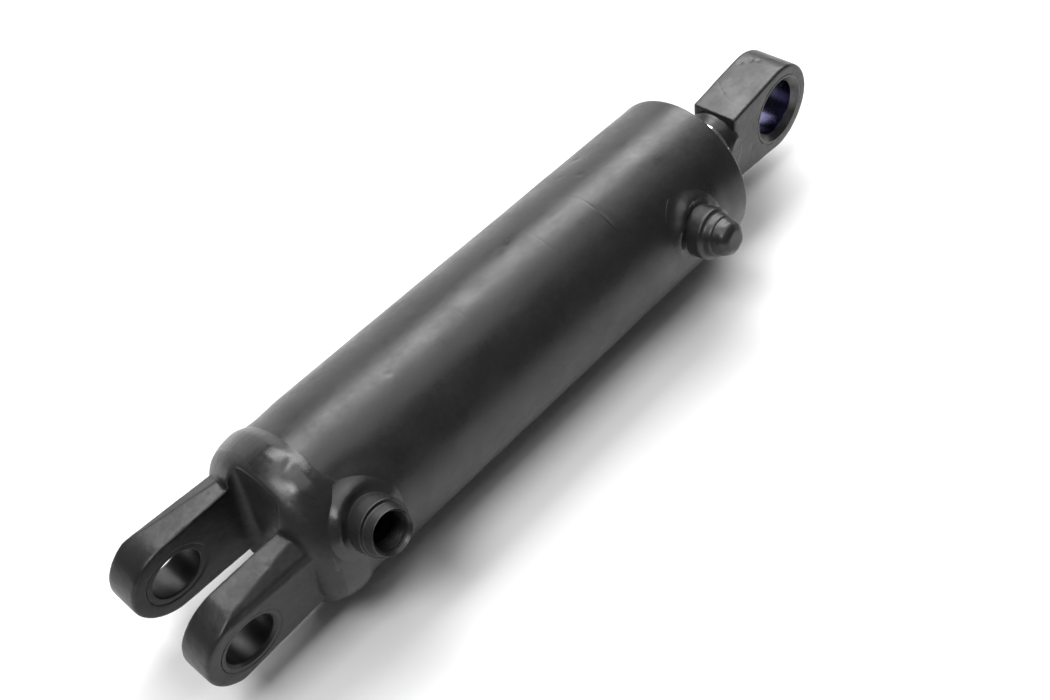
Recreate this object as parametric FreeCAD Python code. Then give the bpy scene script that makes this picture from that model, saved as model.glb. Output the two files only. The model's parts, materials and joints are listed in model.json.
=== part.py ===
import FreeCAD, Part
import math
import os

# Welded double-acting hydraulic cylinder with a clevis base and an eye on the rod.
# Millimetres. Origin at the centre of the clevis pin, +X along the cylinder to the rod eye,
# clevis pin along Y, +Z up. The rod is drawn fully retracted.

# Standard sizes
BARREL_OD = 88.9
BARREL_BORE = 76.2
ROD_DIA = 31.75
CLEVIS_PIN_BORE = 25.8
EYE_PIN_BORE = 32.1
PORT_THREAD_BORE = 17.6
STROKE = 177.8

# Clearances, radial unless named otherwise
RUNNING_GAP = 0.05
FREE_GAP = 0.35
STATIC_GAP = 0.05
GROOVE_SIDE_GAP = 0.12
FACE_GAP = 0.1

# Stations along the cylinder, from the clevis pin
SLOT_BOTTOM_X = 42.0
CAP_FRONT_X = 36.0
TUBE_START_X = 56.0
CAP_INNER_X = 62.0
TUBE_END_X = 344.2
BASE_PORT_X = 68.0
ROD_PORT_X = 303.5
EYE_CENTRE_X = 418.0
EYE_BASE_OFFSET = 43.2

# Clevis
CLEVIS_GAP = 31.8
CLEVIS_WIDTH = 68.2
EAR_TIP_RADIUS = 24.0
EAR_ROOT_HALF_HEIGHT = 25.5
EAR_SIDE_RADIUS_TIP = 40.3
EAR_SIDE_RADIUS_ROOT = 37.6
EAR_OUTER_FILLET = 1.4
EAR_INNER_FILLET = 0.9
EAR_BEVEL_ROOT_Y = 22.4
EAR_BEVEL_END_Y = 30.6
EAR_BEVEL_END_X = -5.0
EAR_BEVEL_SLOPE = 29.0
EAR_BEVEL_REACH = 14.0
EAR_ROOT_OVERLAP = 4.0
SLOT_FILLET = 5.0
SHOULDER_RADIUS = 14.0
CLEVIS_BUSHING_OD = 32.0
CLEVIS_BUSHING_SETBACK = 0.4
CLEVIS_BUSHING_CHAMFER = 1.6

# Weld between the cap and the tube
BEAD_HALF_WIDTH = 9.0
BEAD_RISE = 1.9
BEAD_ROOT_DEPTH = 6.0
BEAD_EDGE_SINK = 0.02
WELD_PREP = 4.0

# Tube
TUBE_END_CHAMFER = 1.6

# Ports; heights are measured from the cylinder's axis, angles up from -Y
BASE_PORT_ANGLE = 24.0
ROD_PORT_ANGLE = 17.0
BOSS_RADIUS = 13.8
BOSS_FOOT_HEIGHT = 36.0
BOSS_FACE_HEIGHT = 54.0
BOSS_CHAMFER = 1.4
BOSS_COLLAR_RADIUS = 11.9
BOSS_COLLAR_HEIGHT = 59.6
BOSS_COLLAR_CHAMFER = 0.8
PORT_DRILL_RADIUS = 5.5
PORT_THREAD_BOTTOM = 45.0
PORT_MOUTH_CHAMFER = 1.3
PORT_WELD_BOSS_LEG = 5.6
BASE_PORT_WELD_LEG = 8.6
ROD_PORT_WELD_LEG = 6.2

# Plug in the rod-side port
PLUG_HEAD_FLATS = 17.4
PLUG_HEAD_HEIGHT = 7.6
PLUG_HEAD_SHOULDER = 4.8
PLUG_HEAD_SIDE_RADIUS = 9.8
PLUG_HEAD_TOP_RADIUS = 7.6
PLUG_FLANGE_RADIUS = 11.2
PLUG_FLANGE_THICKNESS = 1.8
PLUG_NECK_RADIUS = 7.0
PLUG_NECK_LENGTH = 3.4
PLUG_THREAD_END = 46.5
PLUG_O_RING_SECTION = 0.85

# Gland: grooves are (start, end, floor radius)
GLAND_LAND_X = 312.0
GLAND_THREAD_X = 326.0
GLAND_FACE_X = 348.4
GLAND_FACE_RADIUS = 37.4
GLAND_NOSE_RADIUS = 30.0
GLAND_THREAD_RADIUS = 39.0
GLAND_O_RING_GROOVE = (314.5, 321.0, 34.2)
ROD_WEAR_GROOVE = (300.0, 312.0, 18.6)
ROD_SEAL_GROOVE = (322.0, 330.0, 21.9)
WIPER_GROOVE = (341.0, 348.4, 22.6)
BACKUP_RING_WIDTH = 1.7
GLAND_O_RING_SECTION = 1.8
SEAL_LIP_ROOT_X = 325.6
SEAL_LIP_GAP = 1.3
WIPER_LIP_X = 351.2
SPANNER_HOLE_COUNT = 4
SPANNER_HOLE_RADIUS = 3.2
SPANNER_HOLE_CIRCLE = 30.5
SPANNER_HOLE_DEPTH = 6.0

# Piston, nut and rod; groove offsets are from the piston's base face
NUT_X = 64.0
NUT_HEIGHT = 16.0
NUT_ACROSS_FLATS = 38.1
NUT_CROWN_ANGLE = 30.0
PISTON_LENGTH = 32.0
PISTON_RADIUS = 37.5
PISTON_CHAMFER = 1.0
WEAR_GROOVE_WIDTH = 7.0
WEAR_GROOVE_FLOOR = 35.3
BASE_WEAR_OFFSET = 3.0
ROD_WEAR_OFFSET = 22.0
PISTON_SEAL_OFFSET = 13.0
PISTON_SEAL_WIDTH = 6.0
PISTON_SEAL_FLOOR = 32.0
PISTON_SEAL_INNER = 35.6
STOP_CLEARANCE = 3.2
STUD_DIA = 25.4
STUD_CHAMFER = 1.5
STUD_PROUD = 0.5
STUD_O_RING_X = 95.8
STUD_O_RING_SECTION = 1.05
STUD_GROOVE_WIDTH = 3.6
STUD_GROOVE_DEPTH = 2.2
ROD_SHOULDER_CHAMFER = 0.8
ROD_END_CHAMFER = 3.0

# Rod eye, turned a little about the rod as it stands
EYE_TURN = -6.0
EYE_THICKNESS = 28.4
EYE_TIP_RADIUS = 26.75
EYE_BASE_TOP = 20.0
EYE_BASE_LOW = 24.0
EYE_BUSHING_OD = 41.2
EYE_EDGE_FILLET = 1.6
EYE_BUSHING_CHAMFER = 2.6
EYE_WELD_LEG = 2.6
EYE_WELD_LAP = 4.0

BARREL_R = BARREL_OD / 2
BORE_R = BARREL_BORE / 2
ROD_R = ROD_DIA / 2
STUD_R = STUD_DIA / 2
PISTON_X = NUT_X + NUT_HEIGHT
SHOULDER_X = PISTON_X + PISTON_LENGTH
GLAND_NOSE_X = SHOULDER_X + STROKE + STOP_CLEARANCE
EYE_BASE_X = EYE_CENTRE_X - EYE_BASE_OFFSET
PLUG_SEAT = BOSS_COLLAR_HEIGHT + FACE_GAP
ORIGIN = FreeCAD.Vector(0, 0, 0)
X_AXIS = FreeCAD.Vector(1, 0, 0)
Y_AXIS = FreeCAD.Vector(0, 1, 0)
Z_AXIS = FreeCAD.Vector(0, 0, 1)


def save(node, shape):
    shape.exportStep("parts/" + node + ".step")


# ---- shared shapes --------------------------------------------------------------------

def turned(points):
    """Solid turned about the X axis from a closed outline of (x, radius) points."""
    corners = [FreeCAD.Vector(x, 0, radius) for x, radius in points]
    outline = Part.makePolygon(corners + corners[:1])
    return Part.Face(outline).revolve(ORIGIN, X_AXIS, 360)


def turned_wire(edges):
    """Solid turned about the X axis from edges that close an outline in the XZ plane."""
    return Part.Face(Part.Wire(Part.__sortEdges__(edges))).revolve(ORIGIN, X_AXIS, 360)


def line(x0, r0, x1, r1):
    return Part.makeLine(FreeCAD.Vector(x0, 0, r0), FreeCAD.Vector(x1, 0, r1))


def arc(x0, r0, x1, r1, x2, r2):
    middle = FreeCAD.Vector(x1, 0, r1)
    return Part.Arc(FreeCAD.Vector(x0, 0, r0), middle, FreeCAD.Vector(x2, 0, r2)).toShape()


def rod_along_x(x0, x1, radius):
    return Part.makeCylinder(radius, x1 - x0, FreeCAD.Vector(x0, 0, 0), X_AXIS)


def rod_along_y(x, y0, y1, radius):
    return Part.makeCylinder(radius, y1 - y0, FreeCAD.Vector(x, y0, 0), Y_AXIS)


def ring(x0, x1, inner, outer, chamfer):
    """Ring about the X axis, with its outer corners broken by a chamfer."""
    outline = [(x0, inner), (x0, outer - chamfer), (x0 + chamfer, outer)]
    outline += [(x1 - chamfer, outer), (x1, outer - chamfer), (x1, inner)]
    return turned(outline)


def o_ring(x_centre, mid_radius, section_radius):
    return Part.makeTorus(mid_radius, section_radius, FreeCAD.Vector(x_centre, 0, 0), X_AXIS)


def hexagon(across_flats, z0, height):
    corner = across_flats / math.sqrt(3)
    points = []
    for turn in range(7):
        angle = math.radians(60 * turn)
        points.append(FreeCAD.Vector(corner * math.cos(angle), corner * math.sin(angle), z0))
    return Part.Face(Part.makePolygon(points)).extrude(FreeCAD.Vector(0, 0, height))


def pin_bushing(x, y0, y1, outer, bore, chamfer):
    """Pressed bushing along Y with a chamfered mouth at both ends."""
    inner = bore / 2
    corners = [(inner + chamfer, y0), (outer, y0), (outer, y1), (inner + chamfer, y1)]
    corners += [(inner, y1 - chamfer), (inner, y0 + chamfer)]
    points = [FreeCAD.Vector(x + radius, y, 0) for radius, y in corners]
    outline = Part.Face(Part.makePolygon(points + points[:1]))
    return outline.revolve(FreeCAD.Vector(x, 0, 0), Y_AXIS, 360)


# ---- base clevis ----------------------------------------------------------------------

def ear_outline(y):
    """Side view of an ear as a face at the given y: round tip, sides spreading to the root."""
    root_x = SLOT_BOTTOM_X + EAR_ROOT_OVERLAP
    lean = math.atan2(EAR_ROOT_HALF_HEIGHT - EAR_TIP_RADIUS, root_x)
    touch_x = -EAR_TIP_RADIUS * math.sin(lean)
    touch_z = EAR_TIP_RADIUS * math.cos(lean)
    root_top = FreeCAD.Vector(root_x, y, EAR_ROOT_HALF_HEIGHT)
    root_low = FreeCAD.Vector(root_x, y, -EAR_ROOT_HALF_HEIGHT)
    touch_top = FreeCAD.Vector(touch_x, y, touch_z)
    touch_low = FreeCAD.Vector(touch_x, y, -touch_z)
    tip = FreeCAD.Vector(-EAR_TIP_RADIUS, y, 0)
    edges = [Part.makeLine(root_top, touch_top)]
    edges.append(Part.Arc(touch_top, tip, touch_low).toShape())
    edges.append(Part.makeLine(touch_low, root_low))
    edges.append(Part.makeLine(root_low, root_top))
    return Part.Face(Part.Wire(edges))


def free_edges(slab, root_x):
    """An ear's edges, less the ones inside the cap."""
    return [e for e in slab.Edges if e.BoundBox.XMin < root_x - 0.5]


def at_slot(edge):
    """True for an edge that lies in the ear's flat inner face."""
    return edge.BoundBox.YLength < 0.01 and abs(abs(edge.BoundBox.YMin) - CLEVIS_GAP / 2) < 0.01


def ear_bevel(side, up):
    """Cutter for the slope along an ear's outer top or low edge, which runs out at the tip."""
    root_x = SLOT_BOTTOM_X + EAR_ROOT_OVERLAP
    drop = EAR_BEVEL_REACH * math.tan(math.radians(EAR_BEVEL_SLOPE))
    rise = (EAR_ROOT_HALF_HEIGHT - EAR_TIP_RADIUS) / root_x
    spread = (EAR_BEVEL_END_Y - EAR_BEVEL_ROOT_Y) / (root_x - EAR_BEVEL_END_X)
    sections = []
    for x in (root_x + 1, -EAR_TIP_RADIUS - 1):
        y = EAR_BEVEL_ROOT_Y + spread * (root_x - x)
        z = EAR_TIP_RADIUS + rise * x
        corners = [(y, z), (y + EAR_BEVEL_REACH, z - drop), (y + EAR_BEVEL_REACH, z + EAR_BEVEL_REACH),
                   (y, z + EAR_BEVEL_REACH)]
        sections.append(Part.makePolygon([FreeCAD.Vector(x, side * a, up * b) for a, b in corners + corners[:1]]))
    return Part.makeLoft(sections, True, True)


def ear(side):
    """One ear: a drafted slab whose outer side follows a slender cone about the X axis."""
    gap_half = CLEVIS_GAP / 2
    thickness = CLEVIS_WIDTH / 2 - gap_half
    start_y = gap_half if side > 0 else -gap_half - thickness
    slab = ear_outline(start_y).extrude(FreeCAD.Vector(0, thickness, 0))
    tip_x = -EAR_TIP_RADIUS
    root_x = SLOT_BOTTOM_X + EAR_ROOT_OVERLAP
    draft = Part.makeCone(EAR_SIDE_RADIUS_TIP, EAR_SIDE_RADIUS_ROOT, root_x - tip_x,
                          FreeCAD.Vector(tip_x, 0, 0), X_AXIS)
    slab = slab.common(draft)
    slab = slab.makeFillet(EAR_OUTER_FILLET, [e for e in free_edges(slab, root_x) if not at_slot(e)])
    slab = slab.makeFillet(EAR_INNER_FILLET, [e for e in free_edges(slab, root_x) if at_slot(e)])
    return slab.cut([ear_bevel(side, 1), ear_bevel(side, -1)])


def cap_body():
    """Round base cap: domed shoulder, full diameter at the weld, spigot inside the tube."""
    shoulder_r = BARREL_R - SHOULDER_RADIUS
    bend = SHOULDER_RADIUS * math.sqrt(0.5)
    dome_end_x = CAP_FRONT_X + SHOULDER_RADIUS
    prep_x = TUBE_START_X - WELD_PREP
    spigot_r = BORE_R - STATIC_GAP
    edges = [line(CAP_FRONT_X, 0, CAP_FRONT_X, shoulder_r)]
    edges.append(arc(CAP_FRONT_X, shoulder_r, dome_end_x - bend, shoulder_r + bend,
                     dome_end_x, BARREL_R))
    edges.append(line(dome_end_x, BARREL_R, prep_x, BARREL_R))
    edges.append(line(prep_x, BARREL_R, TUBE_START_X, BARREL_R - WELD_PREP))
    edges.append(line(TUBE_START_X, BARREL_R - WELD_PREP, TUBE_START_X, spigot_r))
    edges.append(line(TUBE_START_X, spigot_r, CAP_INNER_X, spigot_r))
    edges.append(line(CAP_INNER_X, spigot_r, CAP_INNER_X, 0))
    edges.append(line(CAP_INNER_X, 0, CAP_FRONT_X, 0))
    return turned_wire(edges)


def clevis_slot():
    """The gap between the ears, with soft corners along its bottom."""
    gap_half = CLEVIS_GAP / 2
    slot = Part.makeBox(SLOT_BOTTOM_X + 40, CLEVIS_GAP, 2 * BARREL_OD,
                        FreeCAD.Vector(-40, -gap_half, -BARREL_OD))
    bottom_edges = [e for e in slot.Edges
                    if e.BoundBox.XMin > SLOT_BOTTOM_X - 1 and e.BoundBox.ZLength > BARREL_OD]
    return slot.makeFillet(SLOT_FILLET, bottom_edges)


def base_clevis():
    half = CLEVIS_WIDTH / 2
    body = cap_body().fuse([ear(1), ear(-1)]).removeSplitter()
    return body.cut([clevis_slot(), rod_along_y(0, -half - 1, half + 1, CLEVIS_BUSHING_OD / 2)])


def clevis_bushing(side):
    inner_y = CLEVIS_GAP / 2 + CLEVIS_BUSHING_SETBACK
    outer_y = CLEVIS_WIDTH / 2 - CLEVIS_BUSHING_SETBACK
    y0, y1 = (inner_y, outer_y) if side > 0 else (-outer_y, -inner_y)
    return pin_bushing(0, y0, y1, CLEVIS_BUSHING_OD / 2, CLEVIS_PIN_BORE, CLEVIS_BUSHING_CHAMFER)


def base_weld_bead():
    """Fat ring weld that fills the prepared groove and stands a little above the tube."""
    left = TUBE_START_X - BEAD_HALF_WIDTH
    right = TUBE_START_X + BEAD_HALF_WIDTH
    edge_r = BARREL_R - BEAD_EDGE_SINK
    root_r = BARREL_R - BEAD_ROOT_DEPTH
    edges = [arc(left, edge_r, TUBE_START_X, BARREL_R + BEAD_RISE, right, edge_r)]
    edges.append(line(right, edge_r, TUBE_START_X, root_r))
    edges.append(line(TUBE_START_X, root_r, left, edge_r))
    boss_room = port_place(Part.makeCylinder(BOSS_RADIUS, BARREL_OD), BASE_PORT_X, BASE_PORT_ANGLE)
    return turned_wire(edges).cut([cap_body(), tube_blank(), boss_room])


# ---- barrel ---------------------------------------------------------------------------

def port_place(shape, x, angle):
    """Turn a shape drawn along +Z at the origin to a port's place and direction."""
    moved = shape.copy()
    moved.rotate(ORIGIN, X_AXIS, 90.0 - angle)
    moved.translate(FreeCAD.Vector(x, 0, 0))
    return moved


def tube_blank():
    """Tube with its weld preparation at the base and its gland thread at the rod end."""
    thread_r = GLAND_THREAD_RADIUS + STATIC_GAP
    outline = [(TUBE_START_X, BORE_R), (TUBE_START_X, BARREL_R - WELD_PREP)]
    outline += [(TUBE_START_X + WELD_PREP, BARREL_R), (TUBE_END_X - TUBE_END_CHAMFER, BARREL_R)]
    outline += [(TUBE_END_X, BARREL_R - TUBE_END_CHAMFER), (TUBE_END_X, thread_r)]
    outline += [(GLAND_THREAD_X, thread_r), (GLAND_THREAD_X, BORE_R)]
    return turned(outline)


def barrel_tube():
    drill = Part.makeCylinder(PORT_DRILL_RADIUS, BARREL_OD)
    holes = [port_place(drill, BASE_PORT_X, BASE_PORT_ANGLE)]
    holes.append(port_place(drill, ROD_PORT_X, ROD_PORT_ANGLE))
    return tube_blank().cut(holes)


# ---- ports ----------------------------------------------------------------------------

def port_turned(points):
    """Solid turned about the Z axis from a closed outline of (radius, height) points."""
    corners = [FreeCAD.Vector(radius, 0, height) for radius, height in points]
    outline = Part.makePolygon(corners + corners[:1])
    return Part.Face(outline).revolve(ORIGIN, Z_AXIS, 360)


def port_boss(x, angle):
    """Threaded boss: stepped face, blind thread, drilled through to the tube's wall."""
    bore = PORT_THREAD_BORE / 2
    collar = BOSS_COLLAR_RADIUS
    top = BOSS_COLLAR_HEIGHT
    outline = [(PORT_DRILL_RADIUS, BOSS_FOOT_HEIGHT), (BOSS_RADIUS, BOSS_FOOT_HEIGHT)]
    outline += [(BOSS_RADIUS, BOSS_FACE_HEIGHT - BOSS_CHAMFER)]
    outline += [(BOSS_RADIUS - BOSS_CHAMFER, BOSS_FACE_HEIGHT), (collar, BOSS_FACE_HEIGHT)]
    outline += [(collar, top - BOSS_COLLAR_CHAMFER), (collar - BOSS_COLLAR_CHAMFER, top)]
    outline += [(bore + PORT_MOUTH_CHAMFER, top), (bore, top - PORT_MOUTH_CHAMFER)]
    outline += [(bore, PORT_THREAD_BOTTOM), (PORT_DRILL_RADIUS, PORT_THREAD_BOTTOM)]
    boss = port_place(port_turned(outline), x, angle)
    return boss.cut(rod_along_x(x - BARREL_OD, x + BARREL_OD, BARREL_R))


def port_weld(x, angle, tube_leg):
    """Fillet weld that follows the saddle where a round boss stands on the round tube."""
    tube = Part.makeCylinder(BARREL_R, 2 * BARREL_OD, FreeCAD.Vector(-BARREL_OD, 0, 0), X_AXIS)
    stub = Part.makeCylinder(BOSS_RADIUS, BOSS_FACE_HEIGHT)
    joined = tube.fuse(stub)
    saddle = [e for e in joined.Edges
              if e.BoundBox.ZMin > 0 and e.BoundBox.ZMax < BARREL_R + 1 and e.BoundBox.XLength > BOSS_RADIUS]
    saddle = [e for e in saddle if e.BoundBox.XLength < BARREL_OD]
    welded = joined.makeChamfer(tube_leg, PORT_WELD_BOSS_LEG, saddle)
    weld = welded.cut([tube, stub])
    return port_place(weld, x, angle)


def rod_port_plug():
    """Steel plug that closes the rod-side port: thread, flange and a small hexagon head."""
    top = PLUG_SEAT + PLUG_HEAD_HEIGHT
    head = hexagon(PLUG_HEAD_FLATS, PLUG_SEAT, PLUG_HEAD_HEIGHT)
    side = PLUG_HEAD_SIDE_RADIUS
    crown = port_turned([(0, PLUG_SEAT), (side, PLUG_SEAT), (side, PLUG_SEAT + PLUG_HEAD_SHOULDER),
                         (PLUG_HEAD_TOP_RADIUS, top), (0, top)])
    flange = Part.makeCylinder(PLUG_FLANGE_RADIUS, PLUG_FLANGE_THICKNESS,
                               FreeCAD.Vector(0, 0, PLUG_SEAT))
    thread_r = PORT_THREAD_BORE / 2 - STATIC_GAP
    neck_z = PLUG_SEAT - PLUG_NECK_LENGTH
    thread = port_turned([(0, PLUG_THREAD_END), (thread_r - 1, PLUG_THREAD_END),
                          (thread_r, PLUG_THREAD_END + 1), (thread_r, neck_z),
                          (PLUG_NECK_RADIUS, neck_z), (PLUG_NECK_RADIUS, PLUG_SEAT), (0, PLUG_SEAT)])
    plug = head.common(crown).fuse([flange, thread]).removeSplitter()
    return port_place(plug, ROD_PORT_X, ROD_PORT_ANGLE)


def rod_port_plug_o_ring():
    radius = PLUG_NECK_RADIUS + PLUG_O_RING_SECTION
    middle = FreeCAD.Vector(0, 0, PLUG_SEAT - PLUG_NECK_LENGTH + PLUG_O_RING_SECTION + FACE_GAP)
    seal = Part.makeTorus(radius, PLUG_O_RING_SECTION, middle, Z_AXIS)
    return port_place(seal, ROD_PORT_X, ROD_PORT_ANGLE)


# ---- gland ----------------------------------------------------------------------------

def groove_steps(groove, from_radius):
    """The four corners of a square groove, taken from its high end to its low end in X."""
    start, end, floor = groove
    return [(end, from_radius), (end, floor), (start, floor), (start, from_radius)]


def spanner_holes():
    """Blind holes in the gland's face for a pin spanner."""
    holes = []
    for turn in range(SPANNER_HOLE_COUNT):
        angle = math.radians(45 + 360 * turn / SPANNER_HOLE_COUNT)
        y = SPANNER_HOLE_CIRCLE * math.cos(angle)
        z = SPANNER_HOLE_CIRCLE * math.sin(angle)
        place = FreeCAD.Vector(GLAND_FACE_X - SPANNER_HOLE_DEPTH, y, z)
        holes.append(Part.makeCylinder(SPANNER_HOLE_RADIUS, SPANNER_HOLE_DEPTH + 1, place, X_AXIS))
    return holes


def gland():
    """Threaded head that closes the tube and guides and seals the rod."""
    bore = ROD_R + FREE_GAP
    land = BORE_R - STATIC_GAP
    thread_x = GLAND_THREAD_X + 0.3
    wiper_x, wiper_end, wiper_floor = WIPER_GROOVE
    outline = [(GLAND_NOSE_X, bore), (GLAND_NOSE_X, GLAND_NOSE_RADIUS)]
    outline += [(GLAND_LAND_X, GLAND_NOSE_RADIUS), (GLAND_LAND_X, land)]
    outline += groove_steps(GLAND_O_RING_GROOVE, land)[::-1]
    outline += [(thread_x, land), (thread_x, GLAND_THREAD_RADIUS)]
    outline += [(TUBE_END_X, GLAND_THREAD_RADIUS), (TUBE_END_X, GLAND_FACE_RADIUS)]
    outline += [(GLAND_FACE_X - 1, GLAND_FACE_RADIUS), (GLAND_FACE_X, GLAND_FACE_RADIUS - 1)]
    outline += [(wiper_end, wiper_floor), (wiper_x, wiper_floor), (wiper_x, bore)]
    outline += groove_steps(ROD_SEAL_GROOVE, bore)
    outline += groove_steps(ROD_WEAR_GROOVE, bore)
    return turned(outline).cut(spanner_holes())


def gland_o_ring():
    start, end, floor = GLAND_O_RING_GROOVE
    return o_ring(end - GLAND_O_RING_SECTION - GROOVE_SIDE_GAP, floor + GLAND_O_RING_SECTION + 0.15,
                  GLAND_O_RING_SECTION)


def gland_backup_ring():
    start, end, floor = GLAND_O_RING_GROOVE
    start += GROOVE_SIDE_GAP
    return ring(start, start + BACKUP_RING_WIDTH, floor + FACE_GAP, BORE_R - STATIC_GAP, 0.2)


def rod_wear_ring():
    start, end, floor = ROD_WEAR_GROOVE
    outer = floor - STATIC_GAP
    return ring(start + GROOVE_SIDE_GAP, end - GROOVE_SIDE_GAP, ROD_R + RUNNING_GAP, outer, 0.3)


def rod_seal():
    """U-cup: a solid heel and two lips with a groove between them, open to the pressure side."""
    start, end, floor = ROD_SEAL_GROOVE
    start += GROOVE_SIDE_GAP
    end -= GROOVE_SIDE_GAP
    inner = ROD_R + RUNNING_GAP
    outer = floor - STATIC_GAP
    middle = (inner + outer) / 2
    outline = [(end, inner), (end, outer), (start, outer), (start, middle + SEAL_LIP_GAP)]
    outline += [(SEAL_LIP_ROOT_X, middle), (start, middle - SEAL_LIP_GAP), (start, inner)]
    return turned(outline)


def rod_wiper():
    """Wiper: body seated in the mouth of the gland and a lip that scrapes the rod."""
    start, face, floor = WIPER_GROOVE
    inner = ROD_R + RUNNING_GAP
    body_inner = inner + 1.6
    outer = floor - FACE_GAP
    outline = [(start + FACE_GAP, body_inner), (start + FACE_GAP, outer), (face - 0.2, outer)]
    outline += [(face + 1.4, inner + 2.0), (WIPER_LIP_X, inner + 0.5), (WIPER_LIP_X - 0.6, inner)]
    outline += [(face + 0.2, inner), (face - 2.4, body_inner)]
    return turned(outline)


# ---- rod and piston -------------------------------------------------------------------

def piston_rod():
    """Rod with a stud for the piston and nut at one end and a weld chamfer at the other."""
    start = NUT_X + STUD_PROUD
    groove_start = STUD_O_RING_X - STUD_GROOVE_WIDTH / 2
    groove_end = STUD_O_RING_X + STUD_GROOVE_WIDTH / 2
    groove_floor = STUD_R - STUD_GROOVE_DEPTH
    outline = [(start, 0), (start, STUD_R - STUD_CHAMFER), (start + STUD_CHAMFER, STUD_R)]
    outline += [(groove_start, STUD_R), (groove_start, groove_floor)]
    outline += [(groove_end, groove_floor), (groove_end, STUD_R), (SHOULDER_X, STUD_R)]
    outline += [(SHOULDER_X, ROD_R - ROD_SHOULDER_CHAMFER), (SHOULDER_X + ROD_SHOULDER_CHAMFER, ROD_R)]
    outline += [(EYE_BASE_X - ROD_END_CHAMFER, ROD_R), (EYE_BASE_X, ROD_R - ROD_END_CHAMFER)]
    outline += [(EYE_BASE_X, 0)]
    return turned(outline)


def piston():
    """Piston with two wear-ring grooves and a seal groove between them."""
    bore = STUD_R + STATIC_GAP
    base_wear = PISTON_X + BASE_WEAR_OFFSET
    rod_wear = PISTON_X + ROD_WEAR_OFFSET
    seal = PISTON_X + PISTON_SEAL_OFFSET
    chamfer = PISTON_CHAMFER
    outline = [(PISTON_X, bore), (PISTON_X, PISTON_RADIUS - chamfer), (PISTON_X + chamfer, PISTON_RADIUS)]
    outline += groove_steps((base_wear, base_wear + WEAR_GROOVE_WIDTH, WEAR_GROOVE_FLOOR), PISTON_RADIUS)[::-1]
    outline += groove_steps((seal, seal + PISTON_SEAL_WIDTH, PISTON_SEAL_FLOOR), PISTON_RADIUS)[::-1]
    outline += groove_steps((rod_wear, rod_wear + WEAR_GROOVE_WIDTH, WEAR_GROOVE_FLOOR), PISTON_RADIUS)[::-1]
    outline += [(SHOULDER_X - chamfer, PISTON_RADIUS), (SHOULDER_X, PISTON_RADIUS - chamfer), (SHOULDER_X, bore)]
    return turned(outline)


def piston_rod_o_ring():
    return o_ring(STUD_O_RING_X, STUD_R - STUD_O_RING_SECTION, STUD_O_RING_SECTION)


def piston_wear_ring(offset):
    start = PISTON_X + offset + GROOVE_SIDE_GAP
    end = PISTON_X + offset + WEAR_GROOVE_WIDTH - GROOVE_SIDE_GAP
    return ring(start, end, WEAR_GROOVE_FLOOR + RUNNING_GAP, BORE_R - RUNNING_GAP, 0.4)


def piston_seal():
    start = PISTON_X + PISTON_SEAL_OFFSET + GROOVE_SIDE_GAP
    end = PISTON_X + PISTON_SEAL_OFFSET + PISTON_SEAL_WIDTH - GROOVE_SIDE_GAP
    return ring(start, end, PISTON_SEAL_INNER, BORE_R - RUNNING_GAP, 0.3)


def piston_seal_energizer():
    start = PISTON_X + PISTON_SEAL_OFFSET + 0.4
    end = PISTON_X + PISTON_SEAL_OFFSET + PISTON_SEAL_WIDTH - 0.4
    return ring(start, end, PISTON_SEAL_FLOOR + FACE_GAP, PISTON_SEAL_INNER - FACE_GAP, 0.8)


def piston_lock_nut():
    body = hexagon(NUT_ACROSS_FLATS, 0, NUT_HEIGHT)
    corner = NUT_ACROSS_FLATS / math.sqrt(3)
    face = NUT_ACROSS_FLATS / 2 - 0.4
    rise = (corner - face) * math.tan(math.radians(NUT_CROWN_ANGLE))
    crown = port_turned([(0, 0), (face, 0), (corner, rise), (corner, NUT_HEIGHT - rise),
                         (face, NUT_HEIGHT), (0, NUT_HEIGHT)])
    bore = Part.makeCylinder(STUD_R + STATIC_GAP, NUT_HEIGHT)
    nut = body.common(crown).cut(bore)
    nut.rotate(ORIGIN, Y_AXIS, 90)
    nut.translate(FreeCAD.Vector(NUT_X, 0, 0))
    return nut


# ---- rod eye --------------------------------------------------------------------------

def eye_side(base_half_height):
    """Where a straight side that starts at the eye's base touches the round end, and its base."""
    run = EYE_CENTRE_X - EYE_BASE_X
    reach = math.hypot(run, base_half_height)
    lean = math.asin(EYE_TIP_RADIUS / reach) - math.atan2(base_half_height, run)
    touch_x = EYE_CENTRE_X - EYE_TIP_RADIUS * math.sin(lean)
    return touch_x, EYE_TIP_RADIUS * math.cos(lean)


def eye_block():
    """Pear-shaped eye: square base on the rod, sides spreading to a round end."""
    y = -EYE_THICKNESS / 2
    top_x, top_z = eye_side(EYE_BASE_TOP)
    low_x, low_z = eye_side(EYE_BASE_LOW)
    base_top = FreeCAD.Vector(EYE_BASE_X, y, EYE_BASE_TOP)
    base_low = FreeCAD.Vector(EYE_BASE_X, y, -EYE_BASE_LOW)
    touch_top = FreeCAD.Vector(top_x, y, top_z)
    touch_low = FreeCAD.Vector(low_x, y, -low_z)
    tip = FreeCAD.Vector(EYE_CENTRE_X + EYE_TIP_RADIUS, y, 0)
    edges = [Part.makeLine(base_top, touch_top)]
    edges.append(Part.Arc(touch_top, tip, touch_low).toShape())
    edges.append(Part.makeLine(touch_low, base_low))
    edges.append(Part.makeLine(base_low, base_top))
    block = Part.Face(Part.Wire(edges)).extrude(FreeCAD.Vector(0, EYE_THICKNESS, 0))
    side_edges = [e for e in block.Edges if e.BoundBox.YLength < 0.1]
    return eye_turned(block.makeFillet(EYE_EDGE_FILLET, side_edges))


def eye_turned(shape):
    """Turn a shape about the rod's axis, as the eye stands."""
    moved = shape.copy()
    moved.rotate(ORIGIN, X_AXIS, EYE_TURN)
    return moved


def rod_eye():
    half = EYE_THICKNESS / 2
    hole = rod_along_y(EYE_CENTRE_X, -half - 1, half + 1, EYE_BUSHING_OD / 2)
    return eye_block().cut(eye_turned(hole))


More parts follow.
